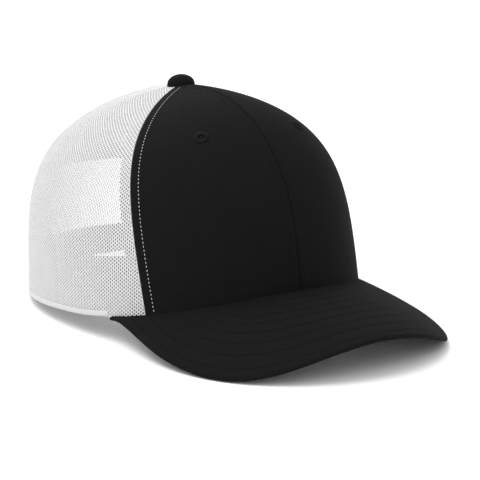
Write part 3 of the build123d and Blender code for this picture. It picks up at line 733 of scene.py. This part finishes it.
visor_top_cover = visor_face("visor_top_cover", True)
visor_under_cover = visor_face("visor_under_cover", False)
sew_in(visor_top_cover, black_twill, "black_twill", "visor_top_cover")
sew_in(visor_under_cover, black_twill, "black_twill", "visor_under_cover")
fine_turns = np.linspace(0.0, math.pi, 721)
for top in (True, False):
    runs = []
    for place in row_places:
        far = visor_edge(fine_turns) - place
        seen = far > visor_root(fine_turns) + 1.2
        if not seen.any():
            continue
        depth = 0.12 if top else VISOR_THICK - 0.12
        path = visor_spot(fine_turns[seen], far[seen], depth)
        runs.append((path, np.tile((0, 0, 1 if top else -1), (len(path), 1))))
    rows = stitches("visor_stitches_top" if top else "visor_stitches_under", runs,
                    0.0026, 0.0003, 0.0034)
    sew_in(rows, black_thread, "black_thread")
board = Loom("visor_board", Roughness=0.6)
board.join(board.surface.inputs["Base Color"],
           board.colours(board.grain(board.place(False), 300.0), (0.05, 0.05, 0.05, 1),
                         (0.1, 0.1, 0.1, 1)))
refinish(board.material, "visor_board")

# Button: a stamped metal core covered in black twill, on a post through the top of the crown,
# held by a washer inside.
bpy.ops.object.select_all(action="DESELECT")
BUTTON_RADIUS, BUTTON_DOME, BUTTON_FOOT, BUTTON_PLEATS = 7.75, 5.5, 1.5, 14
bpy.ops.mesh.primitive_uv_sphere_add(segments=48, ring_count=32, radius=BUTTON_RADIUS,
                                     location=(0, 0, 0))
button_cover = bpy.context.object
button_cover.name = button_cover.data.name = "button_cover"
build = bmesh.new()
build.from_mesh(button_cover.data)
bmesh.ops.bisect_plane(build, geom=build.verts[:] + build.edges[:] + build.faces[:], dist=1e-5,
                       plane_co=(0, 0, -BUTTON_FOOT), plane_no=(0, 0, -1), clear_outer=True)
build.to_mesh(button_cover.data)
build.free()
co = np.array([v.co[:] for v in button_cover.data.vertices])
angle = np.arctan2(co[:, 1], co[:, 0])
tuck = np.clip(1 - (co[:, 2] + BUTTON_FOOT) / 4.5, 0, 1)
pleat = 1 + 0.018 * np.cos(BUTTON_PLEATS * angle) * tuck ** 2
drop = 0.9 * (np.abs(co[:, 0]) / BUTTON_RADIUS) ** 1.6
high = np.where(co[:, 2] > 0, co[:, 2] * BUTTON_DOME / BUTTON_RADIUS, co[:, 2] * 0.35)
co = np.stack((co[:, 0] * pleat, co[:, 1] * pleat, CROWN_TALL + high - drop * tuck + 0.02), -1)
button_cover.data.vertices.foreach_set("co", in_room(co).ravel())
thicken(button_cover, 0.0005)
round_off(button_cover, 60)
button_twill = twill_finish("button_twill", *BLACK_YARN, cloth=False)
sew_in(button_cover, button_twill, "black_twill", "button_cover")
metal = Loom("button_metal", Metallic=1.0)
smudge = metal.grain(metal.place(False), 500.0, 4.0)
metal.join(metal.surface.inputs["Base Color"],
           metal.colours(smudge, (0.55, 0.55, 0.56, 1), (0.7, 0.7, 0.71, 1)))
metal.join(metal.surface.inputs["Roughness"], smudge * 0.2 + 0.3)
refinish(metal.material, "button_core", "button_washer")

# Snap straps: two moulded strips of satin white plastic sewn to the sides of the rear opening.
# The outer one has round holes, the inner one short pegs that press through them.
plastic = Loom("strap_plastic", Roughness=0.38, Specular_IOR_Level=0.5, Coat_Weight=0.1)
where = plastic.place(False)
cloud = plastic.grain(where, 120.0, 3.0)
plastic.join(plastic.surface.inputs["Base Color"],
             plastic.colours(cloud, (0.66, 0.66, 0.665, 1), (0.74, 0.74, 0.74, 1)))
plastic.join(plastic.surface.inputs["Roughness"], cloud * 0.14 + 0.32)
plastic.relief(plastic.grain(where, 2500.0, 1.0), 0.00004, 0.5)
refinish(plastic.material, "hole_strap", "peg_strap", "hole_strap_tab", "peg_strap_tab")

# Studio: a broad white floor that runs on behind the cap, one large soft light high over the
# cap's back left, a fill from the near left, a weak light from behind on the right, and a long
# lens a little above the crown.
bpy.ops.object.select_all(action="DESELECT")
bpy.ops.mesh.primitive_plane_add(size=30, location=(0, 0, 0))
floor = bpy.context.object
floor.name = "floor"
paper = Loom("studio_floor", Roughness=0.9, Specular_IOR_Level=0.1)
paper.join(paper.surface.inputs["Base Color"],
           paper.colours(paper.grain(paper.place(False), 3.0), (0.93, 0.93, 0.93, 1),
                         (0.95, 0.95, 0.95, 1)))
floor.data.materials.append(paper.material)


def lamp(name, place, size, power):
    """Soft square light aimed at the cap."""
    light = bpy.data.lights.new(name, "AREA")
    light.size, light.energy = size, power
    stand = bpy.data.objects.new(name, light)
    bpy.context.collection.objects.link(stand)
    stand.location = place
    stand.rotation_euler = (Vector((0, 0, 0.05)) - Vector(place)).to_track_quat("-Z", "Y").to_euler()


lamp("key_light", (-0.6, 0.5, 2.0), 1.5, 26)
lamp("fill_light", (-1.4, -1.2, 1.2), 1.6, 6)
lamp("back_light", (0.6, 1.6, 1.4), 1.2, 5)
world = bpy.data.worlds.new("studio")
world.use_nodes = True
world.node_tree.nodes["Background"].inputs["Color"].default_value = (1, 1, 1, 1)
world.node_tree.nodes["Background"].inputs["Strength"].default_value = 0.92
bpy.context.scene.world = world
bpy.context.scene.view_settings.view_transform = "Standard"

camera = bpy.data.objects.new("camera", bpy.data.cameras.new("camera"))
bpy.context.collection.objects.link(camera)
camera.location = (-0.58988, -0.85389, 0.28402)
turn_about, lift = math.radians(-34.6026), math.radians(12.6964)
behind = Vector((math.sin(turn_about) * math.cos(lift), -math.cos(turn_about) * math.cos(lift),
                 math.sin(lift)))
camera.rotation_euler = (-behind).to_track_quat("-Z", "Y").to_euler()
camera.data.lens = 145.8
camera.data.shift_x, camera.data.shift_y = 0.0376, -0.0292
bpy.context.scene.camera = camera
